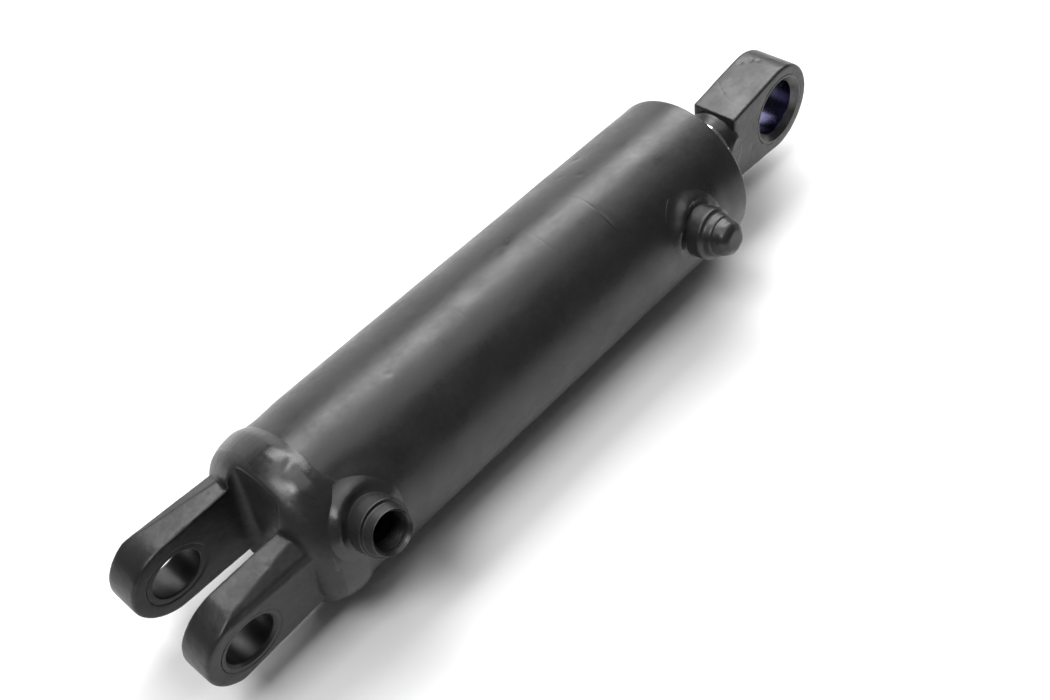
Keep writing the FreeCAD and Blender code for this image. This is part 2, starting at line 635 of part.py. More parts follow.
def rod_eye_weld():
    """Fillet weld round the end of the rod, wrapped over the flat sides of the eye."""
    start = EYE_BASE_X - EYE_WELD_LEG - 2.6
    end = EYE_BASE_X + EYE_WELD_LAP
    toe_r = ROD_R + EYE_WELD_LEG
    core_r = ROD_R - 5
    outline = [(start, core_r), (start, ROD_R + 0.3), (EYE_BASE_X - EYE_WELD_LEG, toe_r - 1.0)]
    outline += [(EYE_BASE_X - 0.6, toe_r), (EYE_BASE_X + 2.2, toe_r - 0.8)]
    outline += [(end, ROD_R - 0.6), (end, core_r)]
    return turned(outline).cut([piston_rod(), eye_block()])


def rod_eye_bushing():
    half = EYE_THICKNESS / 2
    bushing = pin_bushing(EYE_CENTRE_X, -half, half, EYE_BUSHING_OD / 2, EYE_PIN_BORE, EYE_BUSHING_CHAMFER)
    return eye_turned(bushing)


def main():
    os.makedirs("parts", exist_ok=True)
    save("base_clevis", base_clevis())
    save("clevis_bushing_left", clevis_bushing(1))
    save("clevis_bushing_right", clevis_bushing(-1))
    save("barrel_tube", barrel_tube())
    bead = base_weld_bead()
    save("base_weld_bead", bead)
    save("base_port_boss", port_boss(BASE_PORT_X, BASE_PORT_ANGLE))
    save("base_port_weld", port_weld(BASE_PORT_X, BASE_PORT_ANGLE, BASE_PORT_WELD_LEG).cut(bead))
    save("rod_port_boss", port_boss(ROD_PORT_X, ROD_PORT_ANGLE))
    save("rod_port_weld", port_weld(ROD_PORT_X, ROD_PORT_ANGLE, ROD_PORT_WELD_LEG))
    save("rod_port_plug", rod_port_plug())
    save("rod_port_plug_o_ring", rod_port_plug_o_ring())
    save("gland", gland())
    save("gland_o_ring", gland_o_ring())
    save("gland_backup_ring", gland_backup_ring())
    save("rod_wear_ring", rod_wear_ring())
    save("rod_seal", rod_seal())
    save("rod_wiper", rod_wiper())
    save("piston_rod", piston_rod())
    save("piston", piston())
    save("piston_rod_o_ring", piston_rod_o_ring())
    save("piston_wear_ring_base", piston_wear_ring(BASE_WEAR_OFFSET))
    save("piston_wear_ring_rod", piston_wear_ring(ROD_WEAR_OFFSET))
    save("piston_seal", piston_seal())
    save("piston_seal_energizer", piston_seal_energizer())
    save("piston_lock_nut", piston_lock_nut())
    save("rod_eye", rod_eye())
    save("rod_eye_weld", rod_eye_weld())
    save("rod_eye_bushing", rod_eye_bushing())


main()
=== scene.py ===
import json
import math

import bmesh
import bpy
import numpy as np
from mathutils import Matrix, Vector


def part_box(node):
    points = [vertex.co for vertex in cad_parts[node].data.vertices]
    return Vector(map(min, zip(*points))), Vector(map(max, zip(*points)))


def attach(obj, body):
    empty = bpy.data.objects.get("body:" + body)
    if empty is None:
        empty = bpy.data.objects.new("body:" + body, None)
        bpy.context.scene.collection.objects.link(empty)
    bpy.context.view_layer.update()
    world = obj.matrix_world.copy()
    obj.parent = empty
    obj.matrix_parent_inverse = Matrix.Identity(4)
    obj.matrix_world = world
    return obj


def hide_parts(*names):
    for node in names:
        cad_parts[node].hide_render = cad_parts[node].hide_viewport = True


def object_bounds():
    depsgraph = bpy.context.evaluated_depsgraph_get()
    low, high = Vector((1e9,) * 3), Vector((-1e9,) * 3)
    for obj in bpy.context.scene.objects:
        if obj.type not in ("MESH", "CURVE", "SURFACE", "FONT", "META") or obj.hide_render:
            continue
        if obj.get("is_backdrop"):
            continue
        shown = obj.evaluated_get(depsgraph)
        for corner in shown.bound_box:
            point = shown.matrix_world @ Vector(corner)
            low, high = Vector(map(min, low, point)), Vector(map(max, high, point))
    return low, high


# Looks for the welded hydraulic cylinder. Metres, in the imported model's own frame:
# +X along the barrel to the rod eye, clevis pin along Y, +Z up.

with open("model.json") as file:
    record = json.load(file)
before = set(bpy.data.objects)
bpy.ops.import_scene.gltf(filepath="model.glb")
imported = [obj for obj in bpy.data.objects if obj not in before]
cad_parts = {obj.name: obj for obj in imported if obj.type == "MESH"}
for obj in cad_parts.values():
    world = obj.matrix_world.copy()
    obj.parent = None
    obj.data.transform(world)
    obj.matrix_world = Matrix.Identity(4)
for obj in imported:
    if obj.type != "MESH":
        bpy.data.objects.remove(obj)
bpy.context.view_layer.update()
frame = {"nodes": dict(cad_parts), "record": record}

MM = 0.001
X_AXIS = Vector((1, 0, 0))
# How far the ports stand above the horizontal on the -Y side, and how the eye is turned, degrees
BASE_PORT_ANGLE = 24.0
ROD_PORT_ANGLE = 17.0
EYE_TURN = -6.0
# Radii in mm: tube bore, its gland thread, rod, and a port's drilling and thread
BORE_R, GLAND_THREAD_R, ROD_R, PORT_DRILL_R, PORT_THREAD_R = 38.1, 39.05, 15.875, 5.5, 8.8
# Length of the gland's thread in the tube's end, mm
GLAND_THREAD_LENGTH = 18.2
# Pressed bushings, inner and outer radius in mm
CLEVIS_BUSHING = (12.9, 16.3)
EYE_BUSHING = (16.05, 20.9)


# ---- places read from the frame -------------------------------------------------------

def span(node, axis):
    low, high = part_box(node)
    return low[axis], high[axis]


def middle(node, axis):
    low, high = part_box(node)
    return (low[axis] + high[axis]) / 2


TUBE_START, TUBE_END = span("barrel_tube", 0)
TUBE_R = span("barrel_tube", 2)[1]
# A port's place along the barrel in metres, and its angle
BASE_PORT = (middle("base_port_boss", 0), BASE_PORT_ANGLE)
ROD_PORT = (middle("rod_port_boss", 0), ROD_PORT_ANGLE)
EYE_BASE = span("rod_eye", 0)[0]
# Where the base forging's round cap starts to curve in, just before the tube
CAP_FRONT = TUBE_START - 0.020


# ---- noise ----------------------------------------------------------------------------

def lattice(ix, iy, iz, seed):
    """A fixed value from -1 to 1 for each whole-number lattice point."""
    h = (ix * 374761393 + iy * 668265263 + iz * 1440662683 + seed * 974634777) & 0xFFFFFFFF
    h = ((h ^ (h >> 13)) * 1274126177) & 0xFFFFFFFF
    h = h ^ (h >> 16)
    return (h & 0xFFFF) / 32767.5 - 1.0


def noise(points, size, seed=0):
    """Smooth value noise from about -1 to 1, with lumps of about the given size."""
    scaled = points / size
    cell = np.floor(scaled).astype(np.int64)
    part = scaled - cell
    ease = part * part * part * (part * (part * 6 - 15) + 10)
    total = np.zeros(len(points))
    for dx in (0, 1):
        wx = ease[:, 0] if dx else 1 - ease[:, 0]
        for dy in (0, 1):
            wy = ease[:, 1] if dy else 1 - ease[:, 1]
            for dz in (0, 1):
                wz = ease[:, 2] if dz else 1 - ease[:, 2]
                value = lattice(cell[:, 0] + dx, cell[:, 1] + dy, cell[:, 2] + dz, seed)
                total += wx * wy * wz * value
    return total


# ---- mesh helpers ---------------------------------------------------------------------

def mesh_object(name, verts, faces):
    mesh = bpy.data.meshes.new(name)
    mesh.from_pydata([tuple(v) for v in verts], [], [tuple(f) for f in faces])
    mesh.validate()
    mesh.update()
    obj = bpy.data.objects.new(name, mesh)
    bpy.context.scene.collection.objects.link(obj)
    return obj


def fix_normals(obj):
    bm = bmesh.new()
    bm.from_mesh(obj.data)
    bmesh.ops.recalc_face_normals(bm, faces=bm.faces)
    bm.to_mesh(obj.data)
    bm.free()


def shade(obj, angle=40.0):
    """Smooth shading, with edges sharper than the angle kept crisp."""
    for polygon in obj.data.polygons:
        polygon.use_smooth = True
    bm = bmesh.new()
    bm.from_mesh(obj.data)
    limit = math.radians(angle)
    for edge in bm.edges:
        edge.smooth = len(edge.link_faces) == 2 and edge.calc_face_angle(0) < limit
    bm.to_mesh(obj.data)
    bm.free()


def coords(obj):
    co = np.zeros(len(obj.data.vertices) * 3)
    obj.data.vertices.foreach_get("co", co)
    return co.reshape(-1, 3)


def normals(obj):
    no = np.zeros(len(obj.data.vertices) * 3)
    obj.data.vertices.foreach_get("normal", no)
    return no.reshape(-1, 3)


def set_coords(obj, co):
    obj.data.vertices.foreach_set("co", co.reshape(-1))
    obj.data.update()


def push(obj, amount):
    """Moves each vertex along its own normal by amount(points, normals), in metres."""
    co, no = coords(obj), normals(obj)
    set_coords(obj, co + no * amount(co, no)[:, None])


def apply_modifiers(obj):
    depsgraph = bpy.context.evaluated_depsgraph_get()
    mesh = bpy.data.meshes.new_from_object(obj.evaluated_get(depsgraph))
    obj.modifiers.clear()
    old = obj.data
    obj.data = mesh
    bpy.data.meshes.remove(old)


def copy_of(name, node):
    """A new object with a copy of a CAD node's mesh, for remeshing."""
    obj = bpy.data.objects.new(name, frame["nodes"][node].data.copy())
    obj.data.materials.clear()
    bpy.context.scene.collection.objects.link(obj)
    return obj


def weld_points(obj, distance=1e-6):
    bm = bmesh.new()
    bm.from_mesh(obj.data)
    bmesh.ops.remove_doubles(bm, verts=bm.verts, dist=distance)
    bm.to_mesh(obj.data)
    bm.free()


def soften(obj, voxel, rounds, factor=0.5):
    """Rebuilds a mesh in even quads, voxel metres wide, and relaxes it so its corners turn soft."""
    weld_points(obj)
    remesh = obj.modifiers.new("even", "REMESH")
    remesh.mode = "VOXEL"
    remesh.voxel_size = voxel
    smooth = obj.modifiers.new("relax", "SMOOTH")
    smooth.factor = factor
    smooth.iterations = rounds
    apply_modifiers(obj)


def relax_where(obj, weight, rounds):
    """Relaxes only the points where weight(points in mm) is above zero."""
    group = obj.vertex_groups.new(name="relax")
    for index, value in enumerate(weight(coords(obj) / MM)):
        if value > 0:
            group.add([index], float(value), "REPLACE")
    smooth = obj.modifiers.new("relax", "SMOOTH")
    smooth.vertex_group = "relax"
    smooth.factor = 0.6
    smooth.iterations = rounds
    apply_modifiers(obj)
    obj.vertex_groups.clear()


def cut_with(obj, cutter):
    """Takes a closed cutter away from obj, and deletes the cutter."""
    boolean = obj.modifiers.new("cut", "BOOLEAN")
    boolean.operation = "DIFFERENCE"
    boolean.solver = "EXACT"
    boolean.object = cutter
    bpy.context.view_layer.update()
    apply_modifiers(obj)
    bpy.data.objects.remove(cutter)


def along_x(origin=(0, 0, 0)):
    """Frame whose local Z runs along +X: a lathe's height becomes X."""
    basis = Matrix(((0, 0, 1, 0), (1, 0, 0, 0), (0, 1, 0, 0), (0, 0, 0, 1)))
    return Matrix.Translation(origin) @ basis


def along_port(x, angle):
    """Frame whose local Z leaves the barrel's axis in a port's direction, local X along +X."""
    return Matrix.Translation((x, 0, 0)) @ Matrix.Rotation(math.radians(90.0 - angle), 4, "X")


def transformed(points, matrix):
    array = np.array(matrix)
    return points @ array[:3, :3].T + array[:3, 3]


def rounded_outline(points, step):
    """Resamples a closed outline of (radius, height, corner radius) in mm with rounded corners."""
    corners = [np.array(p[:2], float) for p in points]
    radii = [p[2] for p in points]
    count = len(corners)
    path = []
    for i, corner in enumerate(corners):
        before = corners[i - 1] - corner
        after = corners[(i + 1) % count] - corner
        lb, la = np.linalg.norm(before), np.linalg.norm(after)
        ub, ua = before / lb, after / la
        cosine = float(np.clip(ub @ ua, -1, 1))
        angle = math.acos(cosine)
        reach = radii[i] / max(math.tan(angle / 2), 1e-3)
        reach = min(reach, 0.45 * lb, 0.45 * la)
        if reach < 1e-4 or angle > math.radians(176):
            path.append(corner)
            continue
        start, end = corner + ub * reach, corner + ua * reach
        for k in range(6):
            t = k / 5
            path.append((1 - t) ** 2 * start + 2 * t * (1 - t) * corner + t * t * end)
    dense = []
    for i, point in enumerate(path):
        following = path[(i + 1) % len(path)]
        length = np.linalg.norm(following - point)
        pieces = max(1, int(math.ceil(length / step)))
        for k in range(pieces):
            dense.append(point + (following - point) * k / pieces)
    return np.array(dense)


def flat(radius, turn, height):
    """A lathe grid as one list of points in mm, in the lathe's own frame."""
    return np.stack([radius * np.cos(turn), radius * np.sin(turn), height], -1).reshape(-1, 3)


def grid_solid(name, radius, turn, height, matrix):
    """Closed solid from a lathe grid in mm: a row is one ring, and the last row joins the first."""
    rows, columns = height.shape
    index = np.arange(rows * columns).reshape(rows, columns)
    following = np.roll(index, -1, 0)
    faces = [index, np.roll(index, -1, 1), np.roll(following, -1, 1), following]
    points = transformed(flat(radius, turn, height) * MM, matrix)
    obj = mesh_object(name, points, np.stack(faces, -1).reshape(-1, 4).tolist())
    fix_normals(obj)
    return obj


def lathe(name, outline, matrix, segments, wobble=None):
    """Closed solid turned about local Z from an outline of (radius, height) in mm.

    wobble(radius, angle, height) returns the change of radius and height in mm, which makes the
    shape less than perfectly round.
    """
    count = len(outline)
    angle = np.linspace(0, 2 * np.pi, segments, endpoint=False)
    radius = np.repeat(outline[:, 0][:, None], segments, 1)
    height = np.repeat(outline[:, 1][:, None], segments, 1)
    turn = np.repeat(angle[None, :], count, 0)
    if wobble is not None:
        dr, dh = wobble(radius, turn, height)
        radius = radius + dr
        height = height + dh
    return grid_solid(name, radius, turn, height, matrix)


def cylinder_cutter(matrix, radius, low, high, segments=96):
    """Closed cylinder along a frame's local Z, from low to high, all in mm."""
    angle = np.linspace(0, 2 * np.pi, segments, endpoint=False)
    across, along = radius * np.cos(angle), radius * np.sin(angle)
    rings = [np.stack([across, along, np.full(segments, height)], -1) for height in (low, high)]
    points = np.concatenate(rings) * MM
    faces = [list(range(segments))[::-1], [segments + i for i in range(segments)]]
    for i in range(segments):
        j = (i + 1) % segments
        faces.append([i, j, segments + j, segments + i])
    return mesh_object("cutter", transformed(points, matrix), faces)


def finish_piece(obj, body, nodes, material, angle=40.0):
    """Gives a visible piece its material and shading, its body and the CAD that it replaces."""
    obj.data.materials.clear()
    obj.data.materials.append(material)
    shade(obj, angle)
    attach(obj, body)
    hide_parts(*nodes)
    return obj


# ---- materials ------------------------------------------------------------------------

class Nodes:
    """Short way to build a material's node tree."""

    def __init__(self, name):
        self.material = bpy.data.materials.new(name)
        self.material.use_nodes = True
        self.tree = self.material.node_tree
        self.shader = self.tree.nodes["Principled BSDF"]
        self.place = self.tree.nodes.new("ShaderNodeTexCoord").outputs["Object"]

    def node(self, kind, **inputs):
        made = self.tree.nodes.new(kind)
        for key, value in inputs.items():
            self.put(made, key.replace("_", " "), value)
        return made

    def put(self, made, key, value):
        if isinstance(value, bpy.types.NodeSocket):
            self.tree.links.new(value, made.inputs[key])
        else:
            made.inputs[key].default_value = value

    def noise(self, scale, detail=4.0, roughness=0.5, vector=None):
        made = self.node("ShaderNodeTexNoise", Scale=scale, Detail=detail, Roughness=roughness)
        self.tree.links.new(vector or self.place, made.inputs["Vector"])
        return made.outputs["Fac"]

    def scaled(self, scale):
        """The object's own coordinates, stretched."""
        made = self.node("ShaderNodeMapping", Scale=scale)
        self.tree.links.new(self.place, made.inputs["Vector"])
        return made.outputs["Vector"]

    def ramp(self, value, stops):
        made = self.tree.nodes.new("ShaderNodeValToRGB")
        self.tree.links.new(value, made.inputs["Fac"])
        ramp = made.color_ramp
        while len(ramp.elements) < len(stops):
            ramp.elements.new(0.5)
        for element, (position, colour) in zip(ramp.elements, stops):
            element.position = position
            element.color = (*colour, 1.0)
        return made.outputs["Color"]

    def span(self, value, low, high, to_low, to_high):
        made = self.node("ShaderNodeMapRange", Value=value)
        limits = {"From Min": low, "From Max": high, "To Min": to_low, "To Max": to_high}
        for key, number in limits.items():
            made.inputs[key].default_value = number
        return made.outputs["Result"]

    def maths(self, operation, a, b=0.0):
        made = self.tree.nodes.new("ShaderNodeMath")
        made.operation = operation
        for socket, value in zip(made.inputs, (a, b)):
            if isinstance(value, bpy.types.NodeSocket):
                self.tree.links.new(value, socket)
            else:
                socket.default_value = value
        return made.outputs["Value"]

    def mix(self, factor, a, b):
        made = self.tree.nodes.new("ShaderNodeMix")
        made.data_type = "RGBA"
        factor_socket, a_socket, b_socket, colour_out = (
            made.inputs[0], made.inputs[6], made.inputs[7], made.outputs[2])
        for socket, value in ((factor_socket, factor), (a_socket, a), (b_socket, b)):
            if isinstance(value, bpy.types.NodeSocket):
                self.tree.links.new(value, socket)
            else:
                socket.default_value = value if socket is factor_socket else (*value, 1.0)
        return colour_out

    def edges(self, low, high):
        """0 on flats, 1 on convex edges."""
        made = self.tree.nodes.new("ShaderNodeNewGeometry")
        return self.span(made.outputs["Pointiness"], low, high, 0.0, 1.0)

    def bump(self, height, strength, distance, under=None):
        made = self.node("ShaderNodeBump", Height=height, Strength=strength, Distance=distance)
        if under is not None:
            self.tree.links.new(under, made.inputs["Normal"])
        return made.outputs["Normal"]

    def colour(self, value):
        self.put(self.shader, "Base Color", value)

    def roughness(self, value):
        self.put(self.shader, "Roughness", value)

    def normal(self, value):
        self.put(self.shader, "Normal", value)


def black_paint(name, dark, light, rough, grain, lumps, wear, specular=0.5):
    """Satin black enamel: soft mottling, orange peel, a little dust and rubbed edges."""
    n = Nodes(name)
    broad = n.noise(18.0, 3.0, 0.55)
    fine = n.noise(420.0, 4.0, 0.6)
    mottled = n.ramp(broad, [(0.3, dark), (0.7, light)])
    speckle = n.span(n.noise(900.0, 2.0, 0.5), 0.62, 0.8, 0.0, 0.35)
    dusty = n.mix(speckle, mottled, tuple(c * 2.2 for c in light))
    patches = n.span(n.noise(140.0, 3.0), 0.45, 0.6, 0.0, 1.0)
    rubbed = n.maths("MULTIPLY", n.edges(0.53, 0.62), patches)
    rubbed = n.maths("MULTIPLY", rubbed, wear)
    n.colour(n.mix(rubbed, dusty, (0.11, 0.108, 0.105)))
    patchy = n.span(n.noise(45.0, 5.0, 0.65), 0.3, 0.7, rough - 0.09, rough + 0.1)
    n.roughness(n.maths("ADD", patchy, n.span(fine, 0.35, 0.65, -0.03, 0.03)))
    n.shader.inputs["Specular IOR Level"].default_value = specular
    peel = n.bump(n.noise(520.0, 2.0, 0.5), 0.35, grain)
    lumpy = n.bump(n.noise(150.0, 3.0, 0.55), 0.5, lumps, peel)
    n.normal(n.bump(n.noise(1900.0, 2.0, 0.6), 0.2, grain * 0.4, lumpy))
    return n.material


def steel(name, dark, light, rough, streak, metallic, marks, stretch):
    """Machined or ground steel: fine tool lines along one direction, stains and uneven gloss."""
    n = Nodes(name)
    n.shader.inputs["Metallic"].default_value = metallic
    lines = n.noise(streak, 4.0, 0.6, n.scaled(stretch))
    stain = n.noise(60.0, 4.0, 0.6)
    tone = n.maths("ADD", n.maths("MULTIPLY", stain, 0.7), n.maths("MULTIPLY", lines, 0.3))
    n.colour(n.ramp(tone, [(0.35, dark), (0.65, light)]))
    n.roughness(n.span(n.maths("ADD", stain, lines), 0.7, 1.3, rough - 0.05, rough + 0.1))
    n.normal(n.bump(lines, 0.5, marks, n.bump(stain, 0.2, marks)))
    return n.material


def rubber(name, dark, light, rough):
    """Moulded seal: even colour with a slight bloom, fine grain and soft shine."""
    n = Nodes(name)
    n.colour(n.ramp(n.noise(110.0, 4.0, 0.6), [(0.35, dark), (0.7, light)]))
    n.roughness(n.span(n.noise(240.0, 3.0), 0.35, 0.65, rough - 0.06, rough + 0.08))
    n.normal(n.bump(n.noise(1500.0, 3.0), 0.25, 0.00003))
    return n.material


# name, darkest and lightest colour, roughness, grain and lumps in metres, edge wear, specular level
PAINT_TUBE = black_paint(
    "tube_paint", (0.0125, 0.0125, 0.013), (0.0165, 0.0165, 0.017), 0.36, 0.00005, 0.00012, 0.3)
PAINT_FORGED = black_paint(
    "forged_paint", (0.0125, 0.012, 0.0125), (0.018, 0.0175, 0.018), 0.4, 0.00014, 0.0003, 0.5, 0.4)
PAINT_EYE = black_paint(
    "eye_paint", (0.0135, 0.013, 0.0135), (0.0195, 0.0188, 0.0192), 0.4, 0.00014, 0.0003, 0.5)
PAINT_TURNED = black_paint(
    "turned_paint", (0.013, 0.013, 0.0135), (0.018, 0.018, 0.0185), 0.36, 0.00004, 0.0001, 0.6)
PAINT_WELD = black_paint(
    "weld_bead_paint", (0.0125, 0.0125, 0.013), (0.018, 0.018, 0.0185),
    0.31, 0.00004, 0.00008, 0.4, 0.52)
# Darker, less glossy paint in the ports' bores: their black paint with painted shade inside the
# recess
PORT_BORE_PAINT_AND_SHADE = black_paint(
    "port_bore_paint_and_painted_shade", (0.007, 0.007, 0.0075), (0.011, 0.011, 0.0115),
    0.5, 0.00004, 0.0001, 0.3, 0.3)
# Darker, less glossy paint in the clevis bushings' bores: black paint with painted shade in the
# bore
CLEVIS_BORE_PAINT_AND_SHADE = black_paint(
    "clevis_bore_paint_and_painted_shade", (0.006, 0.006, 0.0065), (0.01, 0.01, 0.0105),
    0.42, 0.00004, 0.0001, 0.3, 0.3)
# name, darkest and lightest colour, roughness, streak density, metallic, mark depth (m), stretch
BLUED = steel(
    "bushing_bore", (0.028, 0.027, 0.045), (0.062, 0.058, 0.115),
    0.24, 400.0, 1.0, 0.00002, (1, 6, 1))
CHROME = steel(
    "rod_chrome_finish", (0.62, 0.63, 0.65), (0.78, 0.79, 0.81),
    0.1, 260.0, 1.0, 0.000004, (8, 1, 1))
IRON = steel(
    "piston_iron_finish", (0.16, 0.16, 0.165), (0.3, 0.3, 0.305),
    0.36, 500.0, 1.0, 0.00003, (6, 1, 1))
NUT = steel(
    "nut_steel_finish", (0.3, 0.3, 0.31), (0.5, 0.5, 0.51), 0.32, 420.0, 1.0, 0.00003, (6, 1, 1))
NITRILE = rubber("nitrile_finish", (0.012, 0.012, 0.012), (0.03, 0.03, 0.03), 0.55)
URETHANE = rubber("polyurethane_finish", (0.012, 0.035, 0.09), (0.022, 0.06, 0.15), 0.38)
BARE_RIM = steel(
    "worn_rim", (0.035, 0.034, 0.036), (0.15, 0.148, 0.15), 0.34, 90.0, 0.9, 0.00003, (1, 1, 1))
NYLON = rubber("nylon_finish", (0.05, 0.13, 0.07), (0.1, 0.22, 0.12), 0.5)

CAD_FINISH = {
    "barrel_paint": PAINT_TUBE, "forging_paint": PAINT_FORGED, "machined_paint": PAINT_TURNED,
    "weld_paint": PAINT_WELD, "bushing_steel": BLUED, "rod_chrome": CHROME, "piston_iron": IRON,
    "nut_steel": NUT, "nitrile_rubber": NITRILE, "polyurethane": URETHANE, "wear_nylon": NYLON,
}
for part in frame["record"]["subparts"]:
    node = frame["nodes"][part["node"]]
    node.data.materials.clear()
    node.data.materials.append(CAD_FINISH[part["material_slot"]])


# ---- barrel ---------------------------------------------------------------------------

def bell(value, centre, width):
    """1 at the centre, falling smoothly to almost nothing at twice the width."""
    return np.exp(-((value - centre) / width) ** 2)


def angle_from(turn, centre):
    """Angle from centre to turn, from -pi to pi, all in radians."""
    return (turn - centre + np.pi) % (2 * np.pi) - np.pi


def angle_up(turn):
    """Degrees above the horizontal on the -Y side, from 0 to 360, for a lathe's angle."""
    return np.degrees((math.pi - turn) % (2 * math.pi))


def dent(amount, points, marks):
    """Takes marks of (x, y, z, size, depth) in mm out of the amount by which points are pushed."""
    for x, y, z, size, depth in marks:
        away = np.linalg.norm(points - np.array([x, y, z]), axis=1)
        amount -= depth * bell(away, 0.0, size)


def neck(x):
    """Depth in mm of the shallow neck that the weld's shrinkage leaves round the tube at x mm."""
    return 0.75 * bell(x, TUBE_START / MM + 13.0, 9.0)


def skin_radius(x):
    """Radius in mm of the skin at x mm: the tube, and before it the cap's domed shoulder."""
    dome_start, bend, skin = CAP_FRONT / MM, 14.0, TUBE_R / MM
    drop = np.clip(dome_start + bend - x, 0, bend)
    return skin - bend + np.sqrt(bend ** 2 - drop ** 2) - neck(x)


def port_distance(turn, height, port_x, port_angle):
    """Distance along the barrel's skin from a port's centre, in mm."""
    radius = TUBE_R / MM
    around = angle_from(turn, math.radians(180.0 - port_angle))
    return np.hypot(height - port_x / MM, around * radius)


# Shallow marks on the barrel: (x, angle up from -Y, size, depth), mm and degrees
TUBE_MARKS = [
    (272.0, 106.0, 1.6, 0.30), (277.5, 102.5, 1.2, 0.22), (284.0, 124.0, 2.2, 0.30),
    (267.0, 118.0, 1.3, 0.18), (240.0, 92.0, 1.8, -0.16), (205.0, 100.0, 2.0, 0.16),
    (150.0, 108.0, 2.4, -0.14), (118.0, 84.0, 1.6, 0.18), (186.0, 60.0, 2.2, -0.12),
    (300.0, 88.0, 1.5, 0.2), (97.0, 122.0, 2.0, 0.2), (226.0, 30.0, 2.0, -0.12),
    (132.0, 200.0, 2.2, 0.2), (210.0, 250.0, 2.0, -0.15), (290.0, 300.0, 1.8, 0.2),
    (170.0, 150.0, 2.6, 0.14),
]
# Faint lines round the barrel: (x, first angle, last angle, depth), mm and degrees
TUBE_LINES = [(257.5, 44.0, 104.0, 0.16), (223.6, 70.0, 100.0, 0.09), (165.0, 76.0, 104.0, 0.05)]


def tube_wobble(radius, turn, height):
    """Hand-finished tube: slow waves, shrinkage beside the welds, marks and faint lines."""
    points = flat(radius, turn, height)
    change = (0.13 * noise(points, 46.0, 3) + 0.075 * noise(points, 17.0, 4)
              + 0.02 * noise(points, 5.0, 5)).reshape(radius.shape)
    change -= neck(height)
    change -= 0.12 * bell(height, TUBE_END / MM - 12.0, 9.0)
    for port, ring in ((BASE_PORT, 27.0), (ROD_PORT, 25.0)):
        change -= 0.35 * bell(port_distance(turn, height, *port), ring, 5.0)
    for x, angle, size, depth in TUBE_MARKS:
        change -= depth * bell(port_distance(turn, height, x * MM, angle), 0.0, size)
    up = angle_up(turn)
    for x, first, last, depth in TUBE_LINES:
        inside = np.clip((up - first) / 8.0, 0, 1) * np.clip((last - up) / 8.0, 0, 1)
        change -= depth * inside * bell(height, x, 0.55)
        change += 0.5 * depth * inside * bell(height, x + 2.0, 1.6)
    outer = np.clip((radius - TUBE_R / MM + 2.5) / 2.0, 0, 1)
    return change * outer, 0 * change


def tube_outline():
    """The tube's section: sparse rings in the bore, dense ones on the skin and across its lines."""
    start, end, skin = TUBE_START / MM, TUBE_END / MM, TUBE_R / MM
    prep, thread_end = 4.0, end - GLAND_THREAD_LENGTH
    outline = rounded_outline([
        (BORE_R, start, 0.3), (skin - prep, start, 0.3), (skin, start + prep, 0.8),
        (skin, end, 1.7), (GLAND_THREAD_R, end, 0.5), (GLAND_THREAD_R, thread_end, 0.3),
        (BORE_R, thread_end, 0.3)], 1.1)
    every_sixth = np.arange(len(outline)) % 6 == 0
    outline = outline[every_sixth | (outline[:, 0] > GLAND_THREAD_R - 0.2)]
    on_skin = np.isclose(outline[:, 0], skin) & (outline[:, 1] > start + prep)
    first = int(np.argmax(on_skin))
    last = len(on_skin) - 1 - int(np.argmax(on_skin[::-1]))
    rings = [tuple(point) for point in outline[first:last + 1]]
    for x, *_ in TUBE_LINES:
        rings += [(skin, x + offset) for offset in np.arange(-1.75, 1.76, 0.25)]
    rings = np.array(sorted(rings, key=lambda point: point[1]))
    apart = np.concatenate([[True], np.diff(rings[:, 1]) > 0.12])
    return np.concatenate([outline[:first], rings[apart], outline[last + 1:]])


def barrel_tube():
    """The barrel with its wavy skin, and a hole under each port."""
    tube = lathe("barrel_tube_skin", tube_outline(), along_x(), 264, tube_wobble)
    for port in (BASE_PORT, ROD_PORT):
        cut_with(tube, cylinder_cutter(along_port(*port), PORT_DRILL_R, 20.0, 60.0))
    finish_piece(tube, "barrel", ["barrel_tube"], PAINT_TUBE)


# The bead stays below this radius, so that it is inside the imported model's box, mm
BEAD_LIMIT = 46.2
# Distance between two ripples, mm
BEAD_RIPPLE = 4.655
# Its crest, and how far it reaches towards the cap and towards the tube, mm
BEAD_CREST, BEAD_LEFT, BEAD_RIGHT = TUBE_START / MM + 0.7, 13.2, 8.4
# Its swells: (height, angle up from -Y, width in degrees, x, width along x), mm and degrees
BEAD_SWELLS = [(1.0, 67.0, 9.0, 52.0, 5.4), (0.6, 94.0, 9.0, 54.5, 5.0)]


def bead_across(x):
    """-1 at the bead's edge on the cap, 0 on its crest and 1 at its edge on the tube."""
    away = x - BEAD_CREST
    return np.where(away < 0, away / BEAD_LEFT, away / BEAD_RIGHT)


